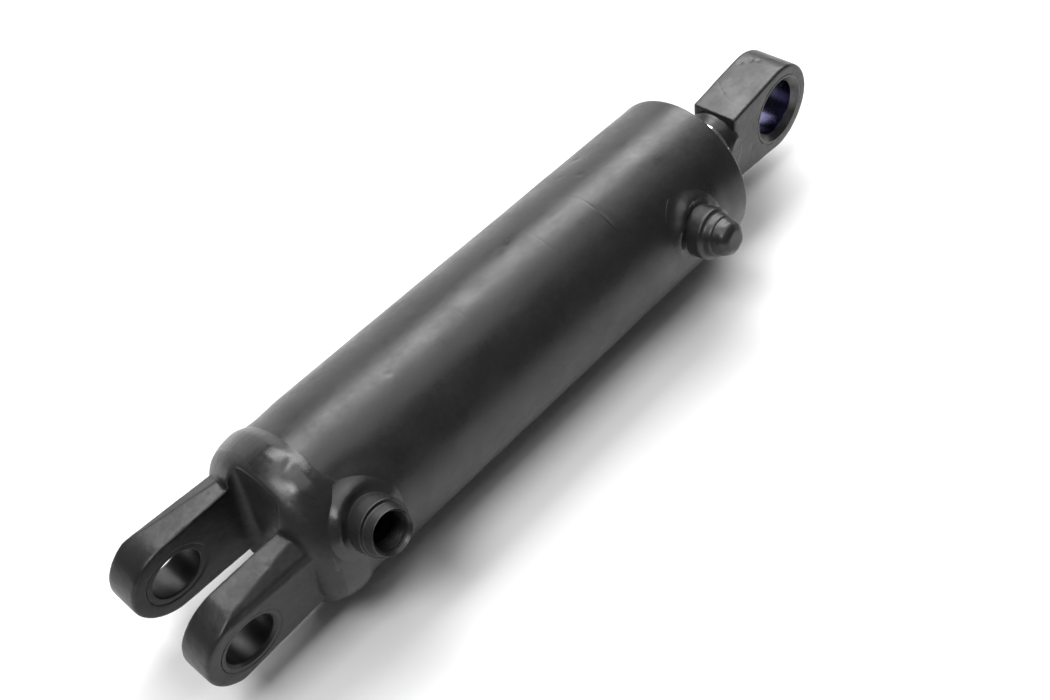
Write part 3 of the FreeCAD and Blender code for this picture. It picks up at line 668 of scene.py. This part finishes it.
def bead_wobble(radius, turn, height):
    """A bead melted smooth: slow swells, faint ripples, and the lap where its last pass ends."""
    across = bead_across(height)
    body = np.clip(1 - across ** 2, 0, 1) * (radius > TUBE_R / MM - 3.0)
    points = flat(radius, turn, height)
    up = angle_up(turn)
    drift = 1.8 * noise(points, 24.0, 11).reshape(radius.shape)
    arc_length = turn * TUBE_R / MM
    phase = 2 * np.pi * (arc_length + 3.4 * across ** 2 + drift) / BEAD_RIPPLE
    ripple = 0.012 * np.cos(phase)
    lumps = 0.22 * noise(points, 19.0, 12) + 0.03 * noise(points, 7.0, 13)
    change = ripple + lumps.reshape(radius.shape)
    for rise, angle, degrees_wide, x, wide in BEAD_SWELLS:
        change += rise * bell(up, angle, degrees_wide) * bell(height, x, wide)
    lap = up - 80.5 - 0.55 * (height - 53.0)
    change -= 0.2 * bell(lap, 0.0, 2.0) * bell(height, 54.5, 4.5)
    change -= 1.3 * bell(port_distance(turn, height, *BASE_PORT), 13.0, 9.5)
    grown = radius + change * body
    blend = 0.12
    capped = BEAD_LIMIT - blend * np.log1p(np.exp((BEAD_LIMIT - grown) / blend))
    side = 1.2 * noise(points, 20.0, 15).reshape(radius.shape)
    return np.where(body > 0, capped - radius, 0.0), side * body * np.abs(across)


def base_weld_bead():
    """The fat weld between the cap and the tube, cut back where the port's boss stands."""
    root, rise, sunk = TUBE_R / MM - 4.5, 1.6, 0.28
    crown = []
    for place in np.linspace(BEAD_CREST - BEAD_LEFT, BEAD_CREST + BEAD_RIGHT, 48):
        swell = 0.5 * (1 + math.cos(math.pi * float(bead_across(place))))
        crown.append((skin_radius(place) - sunk + rise * swell, place))
    outline = np.array(crown + [(root, BEAD_CREST + 2.0), (root, BEAD_CREST - 3.0)])
    bead = lathe("base_weld_bead_ring", outline, along_x(), 420, bead_wobble)
    boss_room = cylinder_cutter(along_port(*BASE_PORT), 13.3, 30.0, 60.0)
    cut_with(bead, boss_room)
    finish_piece(bead, "barrel", ["base_weld_bead"], PAINT_WELD, 60.0)


# Nicks and beads of spatter on the ears: (x, y, z, size, depth) in mm
EAR_MARKS = [
    (11.0, 15.6, 25.0, 1.3, 0.7), (7.5, 15.9, 24.6, 1.6, 0.3), (38.6, -21.0, 25.2, 1.5, -1.1),
    (-4.0, 15.9, 24.2, 1.2, 0.3), (2.0, -33.0, 20.0, 1.8, 0.3), (22.0, -25.5, 24.6, 1.4, 0.25),
]


def forged_skin(co, no):
    """Forging and thick paint: broad unevenness, scale pits and a fine orange peel."""
    points = co / MM
    pits = np.clip(noise(points, 3.2, 22) - 0.55, 0, 1)
    amount = (0.12 * noise(points, 13.0, 20) + 0.05 * noise(points, 4.0, 21) - 0.2 * pits
              + 0.02 * noise(points, 1.6, 23) - 0.1)
    dent(amount, points, EAR_MARKS)
    return amount * MM


def ear_tip(points):
    """Weight from 0 to 1 for the softest places: the ears' round tips and the slot's end."""
    tip = np.clip((-6.0 - points[:, 0]) / 10.0, 0, 1)
    slot_end = np.clip((points[:, 0] - 35.0) / 3.0, 0, 1) * (np.abs(points[:, 1]) < 18.5)
    return np.maximum(tip, slot_end)


def base_clevis():
    clevis = copy_of("base_clevis_forging", "base_clevis")
    soften(clevis, 0.0007, 2, 0.5)
    relax_where(clevis, ear_tip, 14)
    push(clevis, forged_skin)
    finish_piece(clevis, "barrel", ["base_clevis"], PAINT_FORGED, 60.0)


def rim_wobble(radius, turn, height):
    """Slightly uneven turned faces."""
    points = flat(radius, turn, height)
    out = (0.03 * noise(points, 5.0, 31)).reshape(radius.shape)
    along = (0.04 * noise(points, 6.0, 32)).reshape(radius.shape)
    return out, along


# The eye is turned about the barrel's axis, so its bushing's length isn't read from its box, mm
EYE_WIDTH = 28.4
# Depth of a clevis bushing's chamfer at its inner and its outer end, mm
CLEVIS_CHAMFERS = (0.5, 1.5)


def bushing_span(node):
    """Middle in metres and half length in mm of a pin bushing, along its own axis."""
    if node == "rod_eye_bushing":
        return 0.0, EYE_WIDTH / 2
    low, high = span(node, 1)
    return middle(node, 1), (high - low) / MM / 2


def bushing(name, node, turn, radii, chamfers, body, finishes):
    """Pressed bushing: rounded rim, a chamfered mouth at each end and a bore with its own finish.

    finishes are those of its faces, its bore and, if there is a third, its mouths.
    """
    inner, outer = radii
    low_chamfer, high_chamfer = chamfers
    chamfer_width = max(chamfers)
    x = middle(node, 0)
    y, half = bushing_span(node)
    outline = rounded_outline([
        (inner, -half + low_chamfer, 0.7), (inner + low_chamfer, -half, 0.7), (outer, -half, 0.25),
        (outer, half, 0.25), (inner + high_chamfer, half, 0.7),
        (inner, half - high_chamfer, 0.7)], 0.7)
    place = Matrix.Rotation(math.radians(turn), 4, "X") @ Matrix.Translation((x, y, 0))
    along_pin = place @ Matrix.Rotation(math.radians(-90), 4, "X")
    ring = lathe(name, outline, along_pin, 144, rim_wobble)
    finish_piece(ring, body, [node], finishes[0])
    for finish in finishes[1:]:
        ring.data.materials.append(finish)
    centre = Vector((x, 0, 0))
    axis = Matrix.Rotation(math.radians(turn), 3, "X") @ Vector((0, 1, 0))
    for polygon in ring.data.polygons:
        away = polygon.center - centre
        distance = (away - axis * away.dot(axis)).length / MM
        if distance < inner + 0.3:
            polygon.material_index = 1
        elif distance < inner + chamfer_width and len(finishes) > 2:
            polygon.material_index = 2


# ---- ports ----------------------------------------------------------------------------

def thread_wobble(radius, turn, height):
    """A real helical thread in the boss's bore, and slightly uneven turned faces."""
    pitch, depth, bottom, top = 1.5875, 0.6, 46.5, 57.0
    flank, run_out = 2.9, 1.0
    points = flat(radius, turn, height)
    change = 0.03 * noise(points, 6.0, 41).reshape(radius.shape)
    in_bore = (radius > PORT_THREAD_R - 0.2) & (radius < PORT_THREAD_R + 0.15)
    phase = (height / pitch - turn / (2 * np.pi)) % 1.0
    groove = np.clip(1.15 - np.abs(phase - 0.5) * flank, 0, 1)
    fade = np.clip((height - bottom) / run_out, 0, 1) * np.clip((top - height) / run_out, 0, 1)
    change = np.where(in_bore, depth * groove * fade, change)
    return change, 0 * change


def port_boss(name, node, port, filled):
    """Turned boss, either with a thread in it or so filled with paint that its steps are soft."""
    x, angle = port
    drill, thread = PORT_DRILL_R, PORT_THREAD_R
    radius, collar = 13.8, 11.8
    foot, bottom, face, top = 37.0, 45.0, 54.2, 59.6
    mouth = 0.4 if filled else 1.9
    outline = rounded_outline([
        (drill, foot, 0.1), (radius, foot, 0.1), (radius, face, 3.0),
        (collar + 0.2, face - 0.4, 1.6), (collar - 0.9, top - 0.3, 2.0),
        (thread + mouth, top, 1.0), (thread, top - 1.25 * mouth, 1.0),
        (thread, bottom, 0.3), (drill, bottom, 0.3)], 0.24)
    boss = lathe(name, outline, along_port(x, angle), 120, None if filled else thread_wobble)
    if filled:
        soften(boss, 0.00045, 30, 0.6)
    inside_tube = cylinder_cutter(along_x(), TUBE_R / MM - 1.6, x / MM - 30.0, x / MM + 30.0, 360)
    cut_with(boss, inside_tube)
    finish_piece(boss, "barrel", [node], PAINT_TURNED)
    # The bore's polygons below the mouth take the darker paint, which paints the shade inside the
    # recess
    boss.data.materials.append(PORT_BORE_PAINT_AND_SHADE)
    to_port = np.array(along_port(x, angle).inverted())[:3, :]
    for polygon in boss.data.polygons:
        local = to_port @ np.append(np.array(polygon.center), 1.0) / MM
        if math.hypot(local[0], local[1]) < thread + 0.85 and local[2] < top - 1.5:
            polygon.material_index = 1


def port_weld(name, node, port, toe, leg, seed):
    """Fillet weld laid round a boss on the round barrel: a ridge that follows the saddle.

    It is full on the side that the welder came from and almost level with the barrel opposite.
    s runs from 0 at the boss to 1 at the weld's toe.
    """
    x, angle = port
    inner, ripple = 12.6, 3.79
    full_side, full_width = math.radians(124.0), math.radians(52.0)
    around, across = 260, 30
    turn = np.linspace(0, 2 * np.pi, around, endpoint=False)[None, :]
    s = np.linspace(0, 1, across)[:, None]
    circle = np.concatenate([np.cos(turn), np.sin(turn), 0 * turn], 0).T * 30.0
    wander, wander2 = noise(circle, 14.0, seed), noise(circle, 9.0, seed + 1)
    reach = toe - inner + 0.9 * wander[None, :]
    radius = inner + reach * s
    crest = bell(s, 0.4, 0.2)
    fullness = 0.06 + 0.94 * bell(angle_from(turn, full_side), 0.0, full_width)
    ridge = leg * fullness * crest + 2.0 * (1 - s) ** 2.6
    ridge = ridge * (1 + 0.12 * wander2[None, :])
    arc_length = turn * (inner + toe) / 2
    phase = 2 * np.pi * (arc_length - 2.6 * (s - 0.5) ** 2 * 4) / ripple
    ridge = ridge + 0.03 * np.cos(phase) * crest * fullness
    rough = noise(flat(radius, turn + 0 * s, ridge), 3.0, seed + 2).reshape(ridge.shape)
    ridge = ridge + 0.05 * rough * crest * fullness
    lateral = radius * np.sin(turn)
    ground = np.sqrt(skin_radius(x / MM + radius * np.cos(turn)) ** 2 - lateral ** 2)
    upper = ground + ridge - (0.2 + 1.6 * (1 - fullness)) * s
    lower = ground[::-1] - 1.6
    radius_all = np.concatenate([radius, radius[::-1]])
    height_all = np.concatenate([upper, lower])
    weld = grid_solid(name, radius_all, turn, height_all, along_port(x, angle))
    finish_piece(weld, "barrel", [node], PAINT_WELD, 75.0)


def plug_wobble(radius, turn, height):
    """Hexagon head so filled with paint that its corners and edges are round."""
    side = np.abs(((turn + np.pi / 6) % (np.pi / 3)) - np.pi / 6)
    hexagon = np.minimum(1 / np.cos(side), 1.045) / 1.028
    head = np.clip((height - 62.0) / 1.2, 0, 1)
    points = flat(radius, turn, height)
    change = radius * (hexagon - 1) * head + 0.10 * noise(points, 4.0, 51).reshape(radius.shape)
    return change, 0.12 * noise(points, 5.0, 52).reshape(radius.shape)


def rod_port_plug():
    """The plug's threaded stem and its head, rounded over by paint."""
    seat, top = 59.7, 67.3
    outline = rounded_outline([
        (0.02, 47.0, 0.0), (8.7, 47.0, 0.6), (8.7, 56.3, 0.2), (7.0, 56.3, 0.2),
        (7.0, seat - 1.4, 0.2), (10.6, seat - 1.4, 0.2), (9.6, seat + 2.0, 3.0),
        (8.8, top - 2.4, 3.0), (5.8, top, 3.0), (0.02, top, 0.0)], 0.35)
    plug = lathe("rod_port_plug_body", outline, along_port(*ROD_PORT), 132, plug_wobble)
    weld_points(plug, 0.00005)
    soften(plug, 0.0004, 26, 0.6)
    finish_piece(plug, "barrel", ["rod_port_plug"], PAINT_TURNED, 60.0)


# ---- rod end --------------------------------------------------------------------------

def gland():
    """Gland with softened edges, seal grooves and four blind holes for a pin spanner."""
    bore, land, thread, face = 16.225, 38.05, 39.0, 37.4
    o_ring, wiper, seal, wear_ring = 34.2, 22.6, 21.9, 18.6
    outline = rounded_outline([
        (bore, 293.0, 0.4), (30.0, 293.0, 0.8), (30.0, 312.0, 0.3), (land, 312.0, 0.6),
        (land, 314.5, 0.2), (o_ring, 314.5, 0.2), (o_ring, 321.0, 0.2), (land, 321.0, 0.2),
        (land, 326.3, 0.2), (thread, 326.3, 0.3), (thread, 344.2, 0.3), (face, 344.2, 0.3),
        (face, 348.4, 1.2), (wiper, 348.4, 0.6), (wiper, 341.0, 0.3), (bore, 341.0, 0.3),
        (bore, 330.0, 0.2), (seal, 330.0, 0.2), (seal, 322.0, 0.2), (bore, 322.0, 0.2),
        (bore, 312.0, 0.2), (wear_ring, 312.0, 0.2), (wear_ring, 300.0, 0.2),
        (bore, 300.0, 0.2)], 1.6)
    body = lathe("gland_body", outline, along_x(), 168, rim_wobble)
    hole_circle, hole_radius = 30.5, 3.2
    for k in range(4):
        turn = math.radians(45 + 90 * k)
        centre = (0.0, hole_circle * MM * math.cos(turn), hole_circle * MM * math.sin(turn))
        cut_with(body, cylinder_cutter(along_x(centre), hole_radius, 342.4, 350.0, 48))
    finish_piece(body, "barrel", ["gland"], PAINT_TURNED)


def piston_rod():
    """Plated rod, with the stud for the piston and the groove of its O-ring."""
    stud, groove, rod = 12.7, 10.5, ROD_R
    end = EYE_BASE / MM
    outline = rounded_outline([
        (0.02, 64.5, 0.0), (stud - 1.5, 64.5, 0.4), (stud, 66.0, 0.4), (stud, 94.0, 0.2),
        (groove, 94.0, 0.2), (groove, 97.6, 0.2), (stud, 97.6, 0.2), (stud, 112.0, 0.3),
        (rod - 0.8, 112.0, 0.2), (rod, 112.8, 0.3), (rod, end - 3.0, 0.3), (rod - 3.0, end, 0.3),
        (0.02, end, 0.0)], 4.0)
    rod_piece = lathe("piston_rod_shaft", outline, along_x(), 192)
    weld_points(rod_piece, 0.00005)
    finish_piece(rod_piece, "rod", ["piston_rod"], CHROME, 30.0)


def eye_weld_wobble(radius, turn, height):
    """Smooth fillet, flattened where it passes the eye's two flat sides."""
    points = flat(radius, turn, height)
    top = np.clip((radius - 15.9) / 1.5, 0, 1)
    beside = np.cos(turn - math.radians(EYE_TURN))
    limit = 16.3 / np.maximum(np.abs(beside), 0.05)
    shrink = np.minimum(limit - radius, 0.0)
    change = 0.25 * noise(points, 9.0, 61).reshape(radius.shape)
    change += 0.08 * noise(points, 3.0, 62).reshape(radius.shape)
    return change * top + shrink, 0.5 * top * noise(points, 10.0, 63).reshape(radius.shape)


def rod_eye_weld():
    """The weld between the rod's neck and the eye."""
    base, rod = EYE_BASE / MM, ROD_R
    outline = rounded_outline([
        (10.9, base - 6.0, 0.1), (rod + 0.1, base - 6.4, 0.2), (rod + 1.1, base - 4.4, 3.0),
        (rod + 2.7, base - 1.0, 2.4), (rod + 2.2, base + 2.4, 2.0), (rod - 0.6, base + 3.9, 0.8),
        (10.9, base + 3.9, 0.1)], 0.4)
    weld = lathe("rod_eye_weld_fillet", outline, along_x(), 220, eye_weld_wobble)
    finish_piece(weld, "rod", ["rod_eye_weld"], PAINT_WELD, 75.0)


# Nicks on the eye: (x, y, z, size, depth) in mm at rest
EYE_MARKS = [
    (417.5, 8.2, 25.6, 1.7, 0.6), (413.0, 12.0, 25.4, 1.4, 0.35), (419.5, 4.4, 25.8, 1.3, 0.6),
    (392.0, -14.6, -8.0, 2.0, 0.2), (436.0, 3.0, -17.0, 2.0, 0.25),
]


def eye_skin(co, no):
    """Thick paint on the eye, its nicks, and a scratch across its top."""
    points = co / MM
    amount = (0.09 * noise(points, 12.0, 70) + 0.035 * noise(points, 3.5, 71)
              + 0.012 * noise(points, 1.5, 72))
    amount -= 0.06
    dent(amount, points, EYE_MARKS)
    top = np.clip((no[:, 2] - 0.9) / 0.1, 0, 1)
    scratch = points[:, 0] - (386.0 + 0.03 * (points[:, 1] + 4.0) ** 2)
    amount -= 0.13 * top * bell(scratch, 0.0, 0.7)
    return amount * MM


def rod_eye():
    eye = copy_of("rod_eye_forging", "rod_eye")
    soften(eye, 0.00065, 3, 0.5)
    push(eye, eye_skin)
    finish_piece(eye, "rod", ["rod_eye"], PAINT_EYE, 60.0)


def build_pieces():
    barrel_tube()
    base_weld_bead()
    base_clevis()
    port_boss("base_port_boss_body", "base_port_boss", BASE_PORT, False)
    port_boss("rod_port_boss_body", "rod_port_boss", ROD_PORT, True)
    port_weld("base_port_weld_fillet", "base_port_weld", BASE_PORT, 27.0, 3.2, 80)
    port_weld("rod_port_weld_fillet", "rod_port_weld", ROD_PORT, 25.6, 3.0, 90)
    rod_port_plug()
    gland()
    piston_rod()
    rod_eye_weld()
    rod_eye()
    bushing("rod_eye_bushing_ring", "rod_eye_bushing", EYE_TURN, EYE_BUSHING, (3.6, 3.6), "rod",
            (PAINT_TURNED, BLUED, BARE_RIM))
    # The clevis bushings' bores take the darker bore paint, which paints the shade inside them
    for node, chamfers in (("clevis_bushing_left", CLEVIS_CHAMFERS),
                           ("clevis_bushing_right", CLEVIS_CHAMFERS[::-1])):
        bushing(node + "_ring", node, 0.0, CLEVIS_BUSHING, chamfers, "barrel",
                (PAINT_FORGED, CLEVIS_BORE_PAINT_AND_SHADE))


build_pieces()


# ---- floor, light and camera ----------------------------------------------------------

# Half the floor's side and the gap under the cylinder, in metres
FLOOR_HALF, FLOOR_GAP = 6.0, 0.0002
WORLD_STRENGTH = 0.09
# The camera's place in metres, its azimuth, elevation and roll in degrees, lens and sensor in mm
CAMERA_PLACE = (-0.104436, -0.306551, 0.511449)
CAMERA_TURN = (-45.883, 50.969, 3.533)
CAMERA_LENS, CAMERA_SENSOR = 45.552, 36.0


def floor():
    low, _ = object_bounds()
    half = FLOOR_HALF
    corners = [(-half, -half), (half, -half), (half, half), (-half, half)]
    obj = mesh_object("floor", [(x, y, low[2] - FLOOR_GAP) for x, y in corners], [(0, 1, 2, 3)])
    n = Nodes("floor_paper")
    n.colour(n.ramp(n.noise(2.0, 2.0), [(0.3, (0.83, 0.83, 0.83)), (0.7, (0.86, 0.86, 0.86))]))
    n.roughness(0.9)
    n.shader.inputs["Specular IOR Level"].default_value = 0.1
    obj.data.materials.append(n.material)
    obj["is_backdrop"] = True


def placed(place, x_axis, y_axis, z_axis):
    """World matrix with its origin at place and the given unit axes."""
    rows = [(x_axis[i], y_axis[i], z_axis[i], place[i]) for i in range(3)]
    return Matrix((*rows, (0, 0, 0, 1)))


def area_light(name, place, width, depth, power, target=(0.2, 0, 0)):
    """Soft panel at place that faces target, with its long side as near to X as it can be."""
    data = bpy.data.lights.new(name, "AREA")
    data.shape = "RECTANGLE"
    data.size, data.size_y = width, depth
    data.energy = power
    obj = bpy.data.objects.new(name, data)
    facing = (Vector(place) - Vector(target)).normalized()
    side = (X_AXIS - facing * X_AXIS.dot(facing)).normalized()
    across = facing.cross(side)
    obj.matrix_world = placed(place, side, across, facing)
    bpy.context.scene.collection.objects.link(obj)


def studio():
    area_light("key_strip", (0.95, 0.76, 1.3), 2.2, 0.66, 38.0)
    area_light("far_wall", (0.75, 1.75, 0.45), 3.0, 1.0, 12.2)
    area_light("top_sheet", (0.8, 0.1, 2.6), 2.2, 2.2, 26.0)
    area_light("left_panel", (-0.58, 0.02, 1.38), 0.6, 0.6, 12.5, (0.1, 0, 0.04))
    world = bpy.data.worlds.new("studio")
    world.use_nodes = True
    background = world.node_tree.nodes["Background"]
    background.inputs["Color"].default_value = (1, 1, 1, 1)
    background.inputs["Strength"].default_value = WORLD_STRENGTH
    bpy.context.scene.world = world
    bpy.context.scene.view_settings.view_transform = "Standard"


def camera():
    azimuth, elevation, roll = (math.radians(angle) for angle in CAMERA_TURN)
    back = Vector((math.sin(azimuth) * math.cos(elevation),
                   -math.cos(azimuth) * math.cos(elevation), math.sin(elevation)))
    level = Vector((math.cos(azimuth), math.sin(azimuth), 0))
    upright = back.cross(level)
    right = level * math.cos(roll) - upright * math.sin(roll)
    up = level * math.sin(roll) + upright * math.cos(roll)
    data = bpy.data.cameras.new("camera")
    data.sensor_width = CAMERA_SENSOR
    data.lens = CAMERA_LENS
    data.clip_start = 0.01
    obj = bpy.data.objects.new("camera", data)
    obj.matrix_world = placed(CAMERA_PLACE, right, up, back)
    bpy.context.scene.collection.objects.link(obj)
    bpy.context.scene.camera = obj


floor()
studio()
camera()
